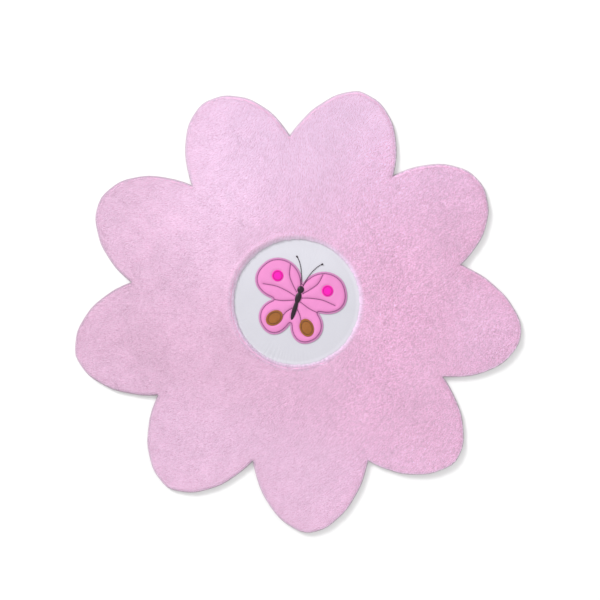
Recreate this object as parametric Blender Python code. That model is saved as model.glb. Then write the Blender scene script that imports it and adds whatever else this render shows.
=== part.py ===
"""A flower-shaped plush rug for a child's room, lying flat on the floor.

The rug is one soft pad with nine uneven petals and a shallow round recess in the middle. A white
round of short-pile cloth lies in the recess, and a padded butterfly is sewn on the white: pink
wings, two magenta spots, two brown ovals and a dark body.

Metres, +Z up. The origin is the middle of the rug's box, on the underside.
"""

import math
from collections import namedtuple

import bmesh
import bpy
from mathutils import Matrix, Vector

MM = 0.001

# The rug's main sizes, in mm
RUG_HEIGHT = 18.0
RECESS_RADIUS = 172.5
RECESS_FLOOR = 5.0
CENTRE_THICKNESS = 3.0
PATCH_THICKNESS = 2.6
SPOT_THICKNESS = 1.4
LYING_GAP = 0.3  # between two pieces that lie on each other

# A petal runs from its notch over its tip to the next petal's notch, anticlockwise from above.
# Reaches are from the middle of the recess, in mm. rise and fall shape the sides before and after
# the tip: 2 is a round shoulder, less is a more pointed one.
Petal = namedtuple("Petal", "notch_deg notch_reach tip_deg tip_reach rise fall")

FLOWER = [
    Petal(12.9, 452, 33.0, 591, 2.0, 1.8),
    Petal(52.7, 428, 73.5, 591, 2.2, 1.5),
    Petal(92.4, 447, 113.0, 594, 2.0, 1.9),
    Petal(132.0, 422, 153.5, 597, 2.0, 1.7),
    Petal(173.2, 448, 193.5, 612, 1.9, 1.7),
    Petal(213.8, 451, 235.0, 609, 1.7, 1.7),
    Petal(254.5, 442, 273.5, 622, 1.8, 1.6),
    Petal(294.2, 468, 315.0, 607, 1.7, 1.6),
    Petal(332.9, 440, 352.2, 610, 2.1, 1.5),
]
FLOWER_STEPS = 14  # from a notch to a tip
EDGE_WAVE = 1.6  # how far the sewn edge wanders, in mm
EDGE_WAVES = (23, 37)  # how many times round the rug

# How the pad's outer side rolls over, from the floor to the top of the pile, in mm
Rim = namedtuple("Rim", "inset height")

FLOWER_RIM = [
    Rim(3.0, 0.0),
    Rim(0.8, 2.4),
    Rim(0.0, 6.0),
    Rim(0.6, 10.0),
    Rim(2.8, 13.8),
    Rim(7.0, 16.6),
]
RIM_TOP_INSET = 14.0

# How the pile rolls over into the recess, from the top down, as distances outside the recess wall
LIP = [
    Rim(13.0, RUG_HEIGHT),
    Rim(5.5, RUG_HEIGHT - 1.3),
    Rim(1.4, RUG_HEIGHT - 3.8),
    Rim(0.0, RUG_HEIGHT - 7.0),
]

# Between rim and lip the top is a little uneven, by a few long waves
TOP_RINGS = 3
TOP_DIP = 1.2  # mm
TOP_WAVELENGTH = (310.0, 265.0)  # along X and Y, in mm
TOP_PHASE = (0.8, -0.5)  # radians

# The butterfly on the white round, in its own frame, with the head along +Y
BUTTERFLY_TURN_DEG = -17.0
WINGS = [
    Petal(-10.0, 66, 36.0, 138, 3.2, 1.8),
    Petal(90.0, 54, 144.0, 138, 1.8, 3.2),
    Petal(190.0, 66, 234.0, 116, 2.2, 2.6),
    Petal(270.0, 62, 306.0, 116, 2.6, 2.2),
]
WING_STEPS = 12
PATCH_RIM = [
    Rim(0.7, 0.0),
    Rim(0.0, 0.9),
    Rim(0.5, 1.9),
    Rim(1.8, PATCH_THICKNESS),
]

# Ovals cut from felt and sewn on the wings: where the middle is, and which way the length points
Oval = namedtuple("Oval", "name cloth direction_deg reach length width")

OVALS = [
    Oval("fore_spot_right", "magenta_felt", 37, 88, 31, 31),
    Oval("fore_spot_left", "magenta_felt", 143, 88, 31, 31),
    Oval("hind_oval_right", "brown_felt", 308, 74, 50, 38),
    Oval("hind_oval_left", "brown_felt", 232, 74, 50, 38),
]
OVAL_SIDES = 36
OVAL_RIM = [
    Rim(0.4, 0.0),
    Rim(0.0, 0.5),
    Rim(0.5, 1.1),
    Rim(1.3, SPOT_THICKNESS),
]

# The butterfly's stuffed body: three swellings along its length, in mm
Swelling = namedtuple("Swelling", "middle half_length half_width")

BODY = [
    Swelling(-21.0, 29.0, 6.2),  # abdomen
    Swelling(12.0, 16.0, 8.2),  # thorax
    Swelling(35.0, 10.0, 9.0),  # head
]
BODY_STATIONS = 30
BODY_ARCH_STEPS = 10
BODY_HEIGHT_SHARE = 0.55  # of the half width

CENTRE_SIDES = 96
CENTRE_RIM = [
    Rim(0.6, 0.0),
    Rim(0.0, 0.8),
    Rim(0.3, 2.0),
    Rim(1.5, CENTRE_THICKNESS),
]

CREASE_DEG = 40.0  # a sharper turn than this between two faces shows as an edge

# Each cloth's colour and roughness
CLOTHS = {
    "pink_plush": ((0.85, 0.50, 0.70), 0.95),
    "white_velour": ((0.83, 0.83, 0.86), 0.90),
    "pink_fleece": ((0.87, 0.30, 0.60), 0.90),
    "magenta_felt": ((0.95, 0.04, 0.48), 0.85),
    "brown_felt": ((0.38, 0.15, 0.045), 0.90),
    "dark_satin": ((0.020, 0.006, 0.016), 0.55),
}


def clear_scene():
    for thing in list(bpy.data.objects):
        bpy.data.objects.remove(thing)


def dyed(name):
    """The cloth's material, made the first time that it is asked for."""
    found = bpy.data.materials.get(name)
    if found:
        return found
    colour, roughness = CLOTHS[name]
    material = bpy.data.materials.new(name)
    material.use_nodes = True
    shader = material.node_tree.nodes["Principled BSDF"]
    shader.inputs["Base Color"].default_value = (*colour, 1.0)
    shader.inputs["Roughness"].default_value = roughness
    shader.inputs["Metallic"].default_value = 0.0
    return material


def petal_outline(petals, steps, wave=0.0):
    """A ring of petals as points round the origin, anticlockwise, in mm."""
    outline = []
    for petal, following in zip(petals, petals[1:] + petals[:1]):
        turn = (following.notch_deg - petal.notch_deg) % 360
        rising = (petal.notch_deg, petal.notch_reach, petal.rise)
        falling = (petal.notch_deg + turn, following.notch_reach, petal.fall)
        for step in range(-steps, steps):
            notch_deg, notch_reach, power = rising if step < 0 else falling
            share = abs(step) / steps
            angle = math.radians(petal.tip_deg + share * (notch_deg - petal.tip_deg))
            reach = petal.tip_reach - (petal.tip_reach - notch_reach) * share**power
            reach += wave * math.sin(EDGE_WAVES[0] * angle) * math.cos(EDGE_WAVES[1] * angle)
            outline.append(reach * Vector((math.cos(angle), math.sin(angle))))
    return outline


def oval_outline(length, width, sides):
    """An oval round the origin with its length along X, anticlockwise, in mm."""
    turns = [2 * math.pi * side / sides for side in range(sides)]
    return [Vector((length / 2 * math.cos(t), width / 2 * math.sin(t))) for t in turns]


def inset(outline, distance):
    """The outline moved inwards by the distance, square to itself at each point."""
    moved = []
    for before, point, after in zip(outline[-1:] + outline[:-1], outline, outline[1:] + outline[:1]):
        along = (after - before).normalized()
        moved.append(point + distance * Vector((-along.y, along.x)))
    return moved


def level_ring(points, height):
    return [Vector((point.x, point.y, height)) for point in points]


def rim_rings(outline, rim):
    return [level_ring(inset(outline, row.inset), row.height) for row in rim]


def solid_from_rings(name, rings, cloth, place):
    """A closed solid through rings of points in mm, with a flat face over the first and the last."""
    bm = bmesh.new()
    loops = [[bm.verts.new(point * MM) for point in ring] for ring in rings]
    for lower, upper in zip(loops, loops[1:]):
        for this in range(len(lower)):
            following = (this + 1) % len(lower)
            bm.faces.new((lower[this], lower[following], upper[following], upper[this]))
    bm.faces.new(reversed(loops[0]))
    bm.faces.new(loops[-1])
    bmesh.ops.recalc_face_normals(bm, faces=bm.faces)
    mesh = bpy.data.meshes.new(name)
    bm.to_mesh(mesh)
    bm.free()
    mesh.shade_smooth()
    mesh.set_sharp_from_angle(angle=math.radians(CREASE_DEG))
    mesh.materials.append(dyed(cloth))
    piece = bpy.data.objects.new(name, mesh)
    piece.matrix_world = place
    bpy.context.scene.collection.objects.link(piece)
    return piece


def box_middle(outline):
    """The middle of the outline's box."""
    across = [point.x for point in outline]
    along = [point.y for point in outline]
    return Vector((min(across) + max(across), min(along) + max(along))) / 2


def pile_top(point):
    """Height of the pile's top at a place on the rug, in mm."""
    across = math.sin(2 * math.pi * point.x / TOP_WAVELENGTH[0] + TOP_PHASE[0])
    along = math.sin(2 * math.pi * point.y / TOP_WAVELENGTH[1] + TOP_PHASE[1])
    return RUG_HEIGHT - TOP_DIP * (1 - across * along) / 2


def flower_rings(outline):
    """Rings from the underside's edge, over the rim and the top, down into the recess."""
    rings = rim_rings(outline, FLOWER_RIM)
    directions = [point.normalized() for point in outline]
    rim_top = inset(outline, RIM_TOP_INSET)
    lip_top = [(RECESS_RADIUS + LIP[0].inset) * way for way in directions]
    for step in range(TOP_RINGS + 2):
        share = step / (TOP_RINGS + 1)
        places = [outer.lerp(inner, share) for outer, inner in zip(rim_top, lip_top)]
        rings.append([Vector((place.x, place.y, pile_top(place))) for place in places])
    for row in LIP[1:]:
        rings.append(level_ring([(RECESS_RADIUS + row.inset) * way for way in directions], row.height))
    rings.append(level_ring([RECESS_RADIUS * way for way in directions], RECESS_FLOOR))
    return rings


def body_half_width(along):
    """The stuffed body's half width at a place along it: the widest swelling there."""
    widths = [0.0]
    for swelling in BODY:
        share = (along - swelling.middle) / swelling.half_length
        if abs(share) < 1:
            widths.append(swelling.half_width * math.sqrt(1 - share**2))
    return max(widths)


def body_rings():
    """Arches across the body, each with a flat foot, from the tail to the head."""
    tail = BODY[0].middle - BODY[0].half_length
    crown = BODY[-1].middle + BODY[-1].half_length
    rings = []
    for station in range(1, BODY_STATIONS):
        # Cosine spacing crowds the arches towards the two round ends.
        share = (1 - math.cos(math.pi * station / BODY_STATIONS)) / 2
        along = tail + share * (crown - tail)
        half = body_half_width(along)
        arch = []
        for step in range(BODY_ARCH_STEPS + 1):
            turn = math.pi * step / BODY_ARCH_STEPS
            arch.append(Vector((half * math.cos(turn), along, BODY_HEIGHT_SHARE * half * math.sin(turn))))
        rings.append(arch)
    return rings


def build():
    clear_scene()
    flower = petal_outline(FLOWER, FLOWER_STEPS, EDGE_WAVE)
    to_rug = Matrix.Translation((-box_middle(flower) * MM).to_3d())
    solid_from_rings("flower_plush", flower_rings(flower), "pink_plush", to_rug)

    height = RECESS_FLOOR + LYING_GAP
    across = 2 * (RECESS_RADIUS - LYING_GAP)
    centre = oval_outline(across, across, CENTRE_SIDES)
    place = to_rug @ Matrix.Translation((0, 0, height * MM))
    solid_from_rings("round_centre", rim_rings(centre, CENTRE_RIM), "white_velour", place)

    height += CENTRE_THICKNESS + LYING_GAP
    turned = to_rug @ Matrix.Rotation(math.radians(BUTTERFLY_TURN_DEG), 4, "Z")
    place = turned @ Matrix.Translation((0, 0, height * MM))
    wings = petal_outline(WINGS, WING_STEPS)
    solid_from_rings("butterfly_wings", rim_rings(wings, PATCH_RIM), "pink_fleece", place)

    height += PATCH_THICKNESS + LYING_GAP
    on_wings = turned @ Matrix.Translation((0, 0, height * MM))
    for oval in OVALS:
        outline = oval_outline(oval.length, oval.width, OVAL_SIDES)
        place = (
            on_wings
            @ Matrix.Rotation(math.radians(oval.direction_deg), 4, "Z")
            @ Matrix.Translation((oval.reach * MM, 0, 0))
        )
        solid_from_rings(oval.name, rim_rings(outline, OVAL_RIM), oval.cloth, place)
    solid_from_rings("butterfly_body", body_rings(), "dark_satin", on_wings)


build()
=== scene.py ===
"""How the flower rug looks: brushed plush pile, a white velour round and a padded butterfly.

Metres, +Z up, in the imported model's frame: the rug lies on its underside, at Z = 0.
"""

import math
from collections import namedtuple

import bpy
import numpy as np
from mathutils.bvhtree import BVHTree
from mathutils.kdtree import KDTree
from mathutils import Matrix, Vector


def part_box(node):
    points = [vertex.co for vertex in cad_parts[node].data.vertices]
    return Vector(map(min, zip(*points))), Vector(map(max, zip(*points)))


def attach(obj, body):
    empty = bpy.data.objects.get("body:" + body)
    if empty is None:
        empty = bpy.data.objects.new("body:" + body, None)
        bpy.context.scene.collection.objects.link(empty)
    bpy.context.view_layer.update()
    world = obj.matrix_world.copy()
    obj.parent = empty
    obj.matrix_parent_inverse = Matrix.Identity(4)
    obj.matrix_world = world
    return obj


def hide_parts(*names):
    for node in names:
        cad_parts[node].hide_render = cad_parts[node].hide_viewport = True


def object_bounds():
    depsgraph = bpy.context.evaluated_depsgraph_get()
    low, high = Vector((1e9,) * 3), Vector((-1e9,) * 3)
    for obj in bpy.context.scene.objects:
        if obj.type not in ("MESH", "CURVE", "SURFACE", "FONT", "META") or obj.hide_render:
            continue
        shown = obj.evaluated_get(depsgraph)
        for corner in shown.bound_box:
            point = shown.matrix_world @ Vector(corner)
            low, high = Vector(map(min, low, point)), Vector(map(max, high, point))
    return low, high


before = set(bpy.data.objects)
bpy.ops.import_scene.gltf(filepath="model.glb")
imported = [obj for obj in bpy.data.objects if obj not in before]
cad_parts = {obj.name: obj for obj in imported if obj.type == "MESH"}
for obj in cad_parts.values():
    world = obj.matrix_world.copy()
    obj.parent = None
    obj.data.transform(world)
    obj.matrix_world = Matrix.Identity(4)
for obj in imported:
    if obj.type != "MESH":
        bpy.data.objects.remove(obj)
cad_low, cad_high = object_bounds()

MM = 0.001
FULL_TURN = 2 * math.pi

# ---- Points and noise


def unit(vectors):
    return vectors / np.maximum(np.linalg.norm(vectors, axis=-1, keepdims=True), 1e-12)


def smooth_step(share):
    share = np.clip(share, 0.0, 1.0)
    return share * share * (3 - 2 * share)


def ramp(values, start, width):
    """0 up to the start, then rising smoothly to 1 over the width."""
    return smooth_step((values - start) / width)


def spot(points, middle, widths):
    """1 at a place in plan, fading to 0 over the widths along X and Y."""
    return np.exp(-np.sum(((points - np.array(middle)) / np.array(widths)) ** 2, axis=-1))


def raised(amounts, share):
    """The first amount, raised by the share of the second."""
    return amounts[0] + amounts[1] * share


def bearings(count):
    return np.arange(count) * FULL_TURN / count


def directions(angles):
    return np.stack((np.cos(angles), np.sin(angles)), axis=-1)


def with_height(points, heights):
    """Plan points with a height each, or one for all."""
    heights = np.broadcast_to(heights, points.shape[:-1])
    return np.concatenate((points, heights[..., None]), axis=-1)


def left_of(line):
    """Unit vectors square to a closed line, on its left."""
    along = unit(np.roll(line, -1, axis=0) - np.roll(line, 1, axis=0))
    return np.stack((-along[:, 1], along[:, 0]), axis=-1)


def inset(line, distance):
    """A closed line, counter-clockwise, moved inwards by the distance."""
    return line + distance * left_of(line)


def spaced(line, spacing, closed=True):
    """Points at about this spacing in plan along a line, whose further columns follow."""
    if closed:
        line = np.concatenate((line, line[:1]))
    steps = np.linalg.norm(np.diff(line[:, :2], axis=0), axis=-1)
    run = np.concatenate(([0.0], np.cumsum(steps)))
    count = max(2, int(round(run[-1] / spacing)))
    at = np.linspace(0, run[-1], count, endpoint=not closed)
    return np.stack([np.interp(at, run, line[:, axis]) for axis in range(line.shape[1])], axis=-1)


def soft_noise(points, wavelength, seed, waves=9):
    """Smooth noise of about -1 to 1 over a plane: a sum of waves in seeded directions."""
    own = np.random.default_rng(seed)
    total = np.zeros(points.shape[:-1])
    for _ in range(waves):
        way = own.uniform(0, FULL_TURN)
        phase = own.uniform(0, FULL_TURN)
        length = wavelength * own.uniform(0.7, 1.5)
        along = points[..., 0] * math.cos(way) + points[..., 1] * math.sin(way)
        total += np.sin(FULL_TURN * along / length + phase)
    return total / math.sqrt(waves)


Grain = namedtuple("Grain", "cell reach seed samples")
GRAIN_SPAN = 1.6  # metres, more than the rug is wide


def drawn_noise(points, ways, grain):
    """Noise in small cells, drawn out along the ways by the reach. Its spread is 1."""
    cells = int(GRAIN_SPAN / grain.cell)
    levels = np.random.default_rng(grain.seed).normal(size=(cells, cells))
    total = np.zeros(len(points))
    for offset in np.linspace(-grain.reach, grain.reach, grain.samples):
        place = (points + offset * ways) / grain.cell + cells / 2
        low = np.floor(place).astype(int)
        part = place - low
        for column in (0, 1):
            for row in (0, 1):
                weight = np.abs(1 - column - part[:, 0]) * np.abs(1 - row - part[:, 1])
                total += weight * levels[low[:, 0] + column, low[:, 1] + row]
    return total / total.std()


# ---- Rays and distances


def face_tree(*objects):
    """A tree of the objects' faces, for rays."""
    corners = []
    faces = []
    for obj in objects:
        first = len(corners)
        corners += [vertex.co for vertex in obj.data.vertices]
        faces += [[first + index for index in face.vertices] for face in obj.data.polygons]
    return BVHTree.FromPolygons(corners, faces)


def side_reach(node, centre, height, angles):
    """How far the node's side is from the centre at a height, by rays shot from outside."""
    tree = face_tree(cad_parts[node])
    start = 1.0
    reaches = []
    for way in directions(angles):
        origin = (*(centre + start * way), height)
        reaches.append(start - tree.ray_cast(origin, (*-way, 0.0))[3])
    return np.array(reaches)


def heights_on(tree, points):
    """Height of the highest face under each point."""
    sky = 0.1
    return np.array([tree.ray_cast((x, y, sky), (0, 0, -1))[0].z for x, y in points.tolist()])


def point_tree(points):
    tree = KDTree(len(points))
    for index, point in enumerate(points):
        tree.insert((point[0], point[1], 0.0), index)
    tree.balance()
    return tree


def nearest(tree, points):
    """For each point, the nearest point of the tree, and how far away that is."""
    found = [tree.find((x, y, 0.0)) for x, y in points.reshape(-1, 2).tolist()]
    places = np.array([hit[0][:2] for hit in found]).reshape(points.shape)
    return places, np.array([hit[2] for hit in found]).reshape(points.shape[:-1])


# ---- Meshes


def mesh_piece(name, points, faces, materials, face_slots=None):
    """A smooth-shaded object of the faces, in the scene."""
    mesh = bpy.data.meshes.new(name)
    mesh.from_pydata(np.asarray(points).reshape(-1, 3), [], faces)
    mesh.shade_smooth()
    for material in materials:
        mesh.materials.append(material)
    if face_slots is not None:
        mesh.polygons.foreach_set("material_index", np.asarray(face_slots, np.int32))
    mesh.update()
    piece = bpy.data.objects.new(name, mesh)
    bpy.context.scene.collection.objects.link(piece)
    return piece


def add_value(piece, name, values):
    """A number at each point of the piece, for its material."""
    made = piece.data.attributes.new(name, "FLOAT", "POINT")
    made.data.foreach_set("value", np.asarray(values, np.float32).ravel())


def ring_faces(rows, columns):
    """Quads between closed rings, and one face over the first ring and over the last."""
    row, column = np.meshgrid(np.arange(rows - 1), np.arange(columns), indexing="ij")
    following = (column + 1) % columns
    quads = np.stack(
        (
            row * columns + column,
            row * columns + following,
            (row + 1) * columns + following,
            (row + 1) * columns + column,
        ),
        axis=-1,
    ).reshape(-1, 4)
    first = list(range(columns))[::-1]
    last = list(range((rows - 1) * columns, rows * columns))
    return quads.tolist() + [first, last]


def rings_piece(name, rings, materials, first_slots=(0,)):
    """A closed solid through rings of points, from the middle of its underside to its top.

    The first slots are the material numbers of the first rows of faces. The rest take the first.
    """
    rings = np.asarray(rings)
    rows, columns = rings.shape[:2]
    faces = ring_faces(rows, columns)
    slots = np.zeros(len(faces), np.int32)
    slots[: len(first_slots) * columns] = np.repeat(first_slots, columns)
    slots[-2] = first_slots[0]
    return mesh_piece(name, rings, faces, materials, slots)


def bake_map_from_above(piece):
    """A UV map that looks straight down on the piece."""
    mesh = piece.data
    places = np.empty(3 * len(mesh.vertices), np.float32)
    mesh.vertices.foreach_get("co", places)
    places = places.reshape(-1, 3)[:, :2]
    low = places.min(axis=0)
    span = places.max(axis=0) - low
    corners = np.empty(len(mesh.loops), np.int32)
    mesh.loops.foreach_get("vertex_index", corners)
    layer = mesh.uv_layers.new(name="OFBake")
    layer.uv.foreach_set("vector", ((places - low) / span)[corners].ravel())


# ---- Shader nodes

FLOAT = "NodeSocketFloat"
COLOUR = "NodeSocketColor"
VECTOR = "NodeSocketVector"


def give(tree, socket, value):
    """Link a socket to the input, or set the input's value."""
    if isinstance(value, bpy.types.NodeSocket):
        tree.links.new(value, socket)
    else:
        socket.default_value = value


def add_node(tree, kind, inputs=None, **settings):
    """A new node, with its inputs named or numbered."""
    made = tree.nodes.new(kind)
    for name, value in settings.items():
        setattr(made, name, value)
    for name, value in (inputs or {}).items():
        give(tree, made.inputs[name], value)
    return made


def mixed(tree, factor, first, second, blend="MIX"):
    """Two colours mixed by a factor."""
    inputs = {0: factor, 6: first, 7: second}
    made = add_node(tree, "ShaderNodeMix", inputs, data_type="RGBA", blend_type=blend)
    return made.outputs[2]


def maths(tree, operation, first, second=0.0):
    return add_node(tree, "ShaderNodeMath", {0: first, 1: second}, operation=operation).outputs[0]


def ranged(tree, value, from_low, from_high, to_low, to_high):
    """The value moved from one range to another, and held inside it."""
    ends = {"From Min": from_low, "From Max": from_high, "To Min": to_low, "To Max": to_high}
    return add_node(tree, "ShaderNodeMapRange", {"Value": value, **ends}).outputs["Result"]


def grey(tree, value):
    inputs = {"Red": value, "Green": value, "Blue": value}
    return add_node(tree, "ShaderNodeCombineColor", inputs).outputs["Color"]


def noise(tree, scale, detail=3.0, roughness=0.55):
    place = add_node(tree, "ShaderNodeTexCoord").outputs["Object"]
    inputs = {"Vector": place, "Scale": scale, "Detail": detail, "Roughness": roughness}
    return add_node(tree, "ShaderNodeTexNoise", inputs).outputs["Fac"]


def bumped(tree, height, distance, strength=0.8):
    inputs = {"Height": height, "Distance": distance, "Strength": strength}
    return add_node(tree, "ShaderNodeBump", inputs).outputs["Normal"]


def new_group(name, inputs, outputs):
    """A shader node group, with (name, kind, default) inputs and (name, kind) outputs."""
    group = bpy.data.node_groups.new(name, "ShaderNodeTree")
    for socket_name, kind, default in inputs:
        made = group.interface.new_socket(socket_name, in_out="INPUT", socket_type=kind)
        made.default_value = default
    for socket_name, kind in outputs:
        group.interface.new_socket(socket_name, in_out="OUTPUT", socket_type=kind)
    entry = group.nodes.new("NodeGroupInput").outputs
    leaving = group.nodes.new("NodeGroupOutput").inputs
    return group, entry, leaving


USUAL_NOISE = (0.3, 0.7)  # where most values of a noise texture lie


def make_mottle():
    """A cloth's broad lighter and darker patches, and its fine grain."""
    group, entry, leaving = new_group(
        "mottle",
        [
            ("Colour", COLOUR, (1, 1, 1, 1)),
            ("Patch Scale", FLOAT, 8.0),
            ("Patch Depth", FLOAT, 0.1),
            ("Grain Scale", FLOAT, 400.0),
            ("Grain Depth", FLOAT, 0.1),
        ],
        [("Colour", COLOUR)],
    )
    lit = entry["Colour"]
    for kind in ("Patch", "Grain"):
        spots = noise(group, entry[kind + " Scale"])
        centred = ranged(group, spots, *USUAL_NOISE, -1.0, 1.0)
        depth = maths(group, "MULTIPLY", centred, entry[kind + " Depth"])
        gain = maths(group, "ADD", depth, 1.0)
        lit = mixed(group, 1.0, lit, grey(group, gain), "MULTIPLY")
    group.links.new(lit, leaving["Colour"])
    return group


def make_nap():
    """The relief of a short nap."""
    group, entry, leaving = new_group(
        "nap", [("Scale", FLOAT, 900.0), ("Depth", FLOAT, 0.0003)], [("Normal", VECTOR)]
    )
    fine = noise(group, entry["Scale"], detail=4.0, roughness=0.7)
    group.links.new(bumped(group, fine, entry["Depth"]), leaving["Normal"])
    return group


def make_weave():
    """The relief and the shade of a plain weave, with its threads along X and Y."""
    group, entry, leaving = new_group(
        "plain_weave",
        [("Threads", FLOAT, 600.0), ("Depth", FLOAT, 0.0003)],
        [("Shade", FLOAT), ("Normal", VECTOR)],
    )
    place = add_node(group, "ShaderNodeTexCoord").outputs["Object"]
    axes = add_node(group, "ShaderNodeSeparateXYZ", {"Vector": place}).outputs
    turns = [maths(group, "MULTIPLY", axes[axis], entry["Threads"]) for axis in ("X", "Y")]
    waves = [maths(group, "SINE", turn) for turn in turns]
    shade = ranged(group, maths(group, "MULTIPLY", *waves), -1.0, 1.0, 0.0, 1.0)
    group.links.new(shade, leaving["Shade"])
    group.links.new(bumped(group, shade, entry["Depth"]), leaving["Normal"])
    return group


MOTTLE = make_mottle()
NAP = make_nap()
WEAVE = make_weave()


def use_group(tree, group, inputs):
    made = add_node(tree, "ShaderNodeGroup", node_tree=group)
    for name, value in inputs.items():
        give(tree, made.inputs[name], value)
    return made.outputs


def mottled(tree, colour, patch, grain):
    """The colour with patches and grain, each (scale, depth)."""
    inputs = {
        "Colour": colour,
        "Patch Scale": patch[0],
        "Patch Depth": patch[1],
        "Grain Scale": grain[0],
        "Grain Depth": grain[1],
    }
    return use_group(tree, MOTTLE, inputs)["Colour"]


def value_of(tree, name):
    """A number kept at each point of the piece."""
    return add_node(tree, "ShaderNodeAttribute", attribute_name=name).outputs["Fac"]


def opaque(colour):
    return (*colour, 1.0)


def new_material(name, colour, roughness, sheen=0.0, sheen_tint=(1, 1, 1), specular=0.2):
    """A material with its shader's plain values set."""
    material = bpy.data.materials.new(name)
    material.use_nodes = True
    material.diffuse_color = opaque(colour)
    tree = material.node_tree
    shader = tree.nodes["Principled BSDF"]
    shader.inputs["Base Color"].default_value = opaque(colour)
    shader.inputs["Roughness"].default_value = roughness
    shader.inputs["Specular IOR Level"].default_value = specular
    shader.inputs["Sheen Weight"].default_value = sheen
    shader.inputs["Sheen Tint"].default_value = opaque(sheen_tint)
    return material, tree, shader


# ---- Finishes

PINK_ROOT = (0.78, 0.43, 0.625)
PINK_TIP = (0.885, 0.60, 0.79)
# Painted shade: a greyer pink for the rim's foot and the lip's side away from the lamp
PINK_EDGE_SHADE = (0.68, 0.49, 0.59)
# Painted light: the gain that pales the pile where light is painted on
PAINTED_LIGHT_GAIN = (1.15, 1.31, 1.28)
PINK_BACKING = (0.78, 0.62, 0.70)
MAUVE_BINDING = (0.43, 0.34, 0.39)
WHITE_CLOTH = (0.50, 0.495, 0.54)
# Painted light: the white cloth as it looks lit
WHITE_CLOTH_PAINTED_LIT = (0.62, 0.605, 0.665)
WING_PINK = (0.63, 0.215, 0.46)
# Painted shade: the deeper pink along the wings' seams
WING_CREASE_SHADE = (0.52, 0.15, 0.36)
WING_MARGIN = (0.48, 0.19, 0.38)
MAGENTA = (0.76, 0.012, 0.38)
MAGENTA_THREAD = (0.40, 0.003, 0.18)
BROWN = (0.265, 0.10, 0.027)
BROWN_THREAD = (0.11, 0.033, 0.008)
PLUM = (0.11, 0.016, 0.085)
NEAR_BLACK = (0.012, 0.0015, 0.009)
TIP_COLOUR_FROM = 0.75  # share of a tuft's length
TONE_LIMIT = 10.0  # in steps of tone
TONE_DEPTH = 0.6  # what the limit adds to the colour, or takes from it


def plush_pile():
    """Pile that is deeper at its foot, with each tuft's own random lightness, plus painted light
    and shade: painted grey and painted paleness.
    """
    material, tree, shader = new_material(
        "plush_pile", PINK_TIP, 0.9, sheen=0.12, sheen_tint=(1.0, 0.86, 0.95)
    )
    height = ranged(tree, value_of(tree, "along"), 0.0, TIP_COLOUR_FROM, 0.0, 1.0)
    faded = mixed(tree, height, opaque(PINK_ROOT), opaque(PINK_TIP))
    # Painted shade: greyer pink where the edge number says so
    edged = mixed(tree, value_of(tree, "edge"), faded, opaque(PINK_EDGE_SHADE))
    gains = (1 - TONE_DEPTH, 1 + TONE_DEPTH)
    # Random grain and painted light and shade, in steps
    grain_and_painted_light = ranged(tree, value_of(tree, "grain_and_painted_light"), -TONE_LIMIT, TONE_LIMIT, *gains)
    toned = mixed(tree, 1.0, edged, grey(tree, grain_and_painted_light), "MULTIPLY")
    # Painted light: this gain, multiplied in on the next line, pales the pile where light is
    # painted on
    gain = mixed(tree, value_of(tree, "painted_light"), opaque((1.0, 1.0, 1.0)), opaque(PAINTED_LIGHT_GAIN))
    brushed = mixed(tree, 1.0, toned, gain, "MULTIPLY")
    patched = mottled(tree, brushed, (7.0, 0.02), (60.0, 0.015))
    tree.links.new(patched, shader.inputs["Base Color"])
    return material


def add_nap(tree, shader, colour, patch, grain, nap):
    """The colour in patches and grain, on the relief of a nap. Each of them is (scale, depth)."""
    patched = mottled(tree, colour, patch, grain)
    relief = use_group(tree, NAP, {"Scale": nap[0], "Depth": nap[1]})
    tree.links.new(patched, shader.inputs["Base Color"])
    tree.links.new(relief["Normal"], shader.inputs["Normal"])


def napped(name, colour, roughness, patch, grain, nap):
    """A cloth of one colour with a short nap."""
    material, tree, shader = new_material(name, colour, roughness)
    add_nap(tree, shader, opaque(colour), patch, grain, nap)
    return material


def backing_cloth():
    """The underside's plain woven cloth."""
    material, tree, shader = new_material("backing_cloth", PINK_BACKING, 0.9)
    woven = use_group(tree, WEAVE, {"Threads": 4200.0, "Depth": 0.0004})
    hollow = opaque([0.8 * part for part in PINK_BACKING])
    shaded = mixed(tree, woven["Shade"], hollow, opaque(PINK_BACKING))
    tree.links.new(shaded, shader.inputs["Base Color"])
    tree.links.new(woven["Normal"], shader.inputs["Normal"])
    return material


def white_velour():
    """White cloth with a short nap, whiter where light is painted on."""
    material, tree, shader = new_material("white_velour", WHITE_CLOTH, 0.9)
    white = mixed(tree, value_of(tree, "painted_light"), opaque(WHITE_CLOTH), opaque(WHITE_CLOTH_PAINTED_LIT))
    add_nap(tree, shader, white, (22.0, 0.012), (500.0, 0.03), (1100.0, 0.0005))
    return material


def wing_fleece():
    """Smooth fleece: painted shade along the seams, and greyer on the margin outside the outline.
    """
    material, tree, shader = new_material("wing_fleece", WING_PINK, 0.85, sheen=0.15)
    pink = mixed(tree, value_of(tree, "painted_crease_shade"), opaque(WING_PINK), opaque(WING_CREASE_SHADE))
    margin = mixed(tree, value_of(tree, "margin"), pink, opaque(WING_MARGIN))
    add_nap(tree, shader, margin, (30.0, 0.03), (700.0, 0.04), (1500.0, 0.0003))
    return material


def thread(name, colour):
    return new_material(name, colour, 0.55, sheen=0.1, specular=0.35)[0]


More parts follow.
